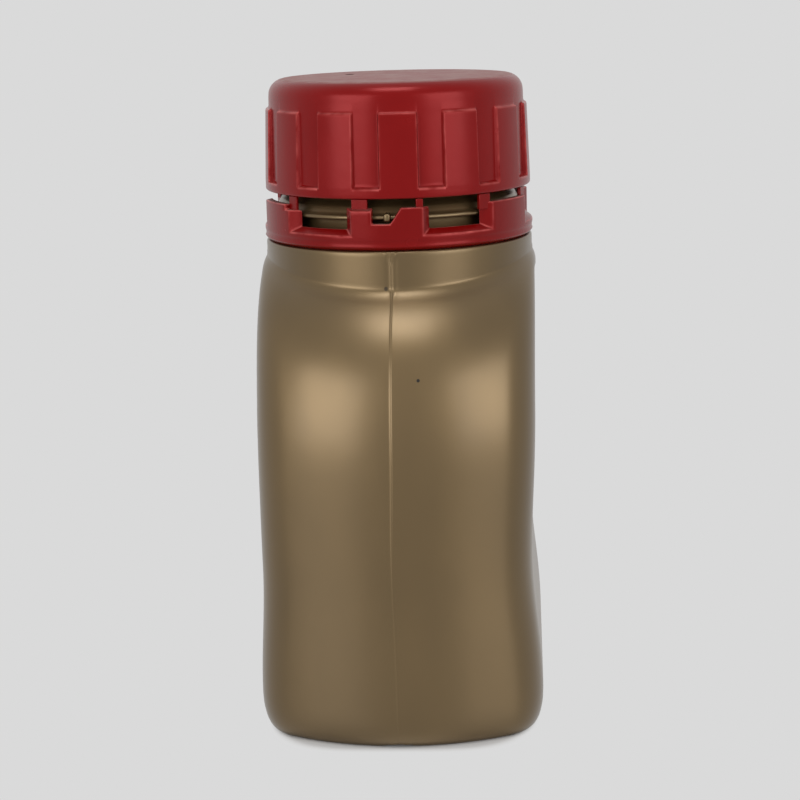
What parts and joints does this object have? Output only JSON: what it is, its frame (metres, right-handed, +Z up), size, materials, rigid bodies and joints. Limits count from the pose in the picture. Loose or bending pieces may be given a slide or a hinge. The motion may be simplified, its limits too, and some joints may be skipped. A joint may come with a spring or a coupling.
{
  "type": "fork oil bottle",
  "caption": "Blow-moulded plastic oil bottle with a flat oblong body, ribbed screw cap on a real thread, castellated tamper band and sealing liner.",
  "frame": {"origin": "centre of the bottle's foot, on the surface it stands on", "axes": "+Z up along the neck, +X through the wide faces, -Y out of the narrow face with the parting line that the picture shows"},
  "size_m": [0.0438, 0.067, 0.0989],
  "materials": {
    "bottle_plastic": "satin gold-brown blow-moulded polyethylene with a faint pearl",
    "cap_plastic": "glossy red moulded polypropylene",
    "band_plastic": "glossy red moulded polypropylene, the same shot as the cap",
    "liner_foam": "off-white expanded polyethylene wad"
  },
  "bodies": {
    "bottle": {"bottle": "bottle_plastic", "tamper_band": "band_plastic"},
    "liner": {"liner": "liner_foam"},
    "cap": {"screw_cap": "cap_plastic"}
  },
  "joints": [
    {"name": "cap_lift", "type": "slide", "parent": "bottle", "child": "liner", "axis": [0, 0, 1], "range_m": [0, 0.017]},
    {"name": "cap_turn", "type": "hinge", "parent": "liner", "child": "cap", "pos_m": [0, 0, 0.09], "axis": [0, 0, 1], "range_deg": [0, 1440]}
  ],
  "couplings": [
    {"joint": "cap_lift", "follows": "cap_turn", "m_per_rad": 0.00066845}
  ]
}
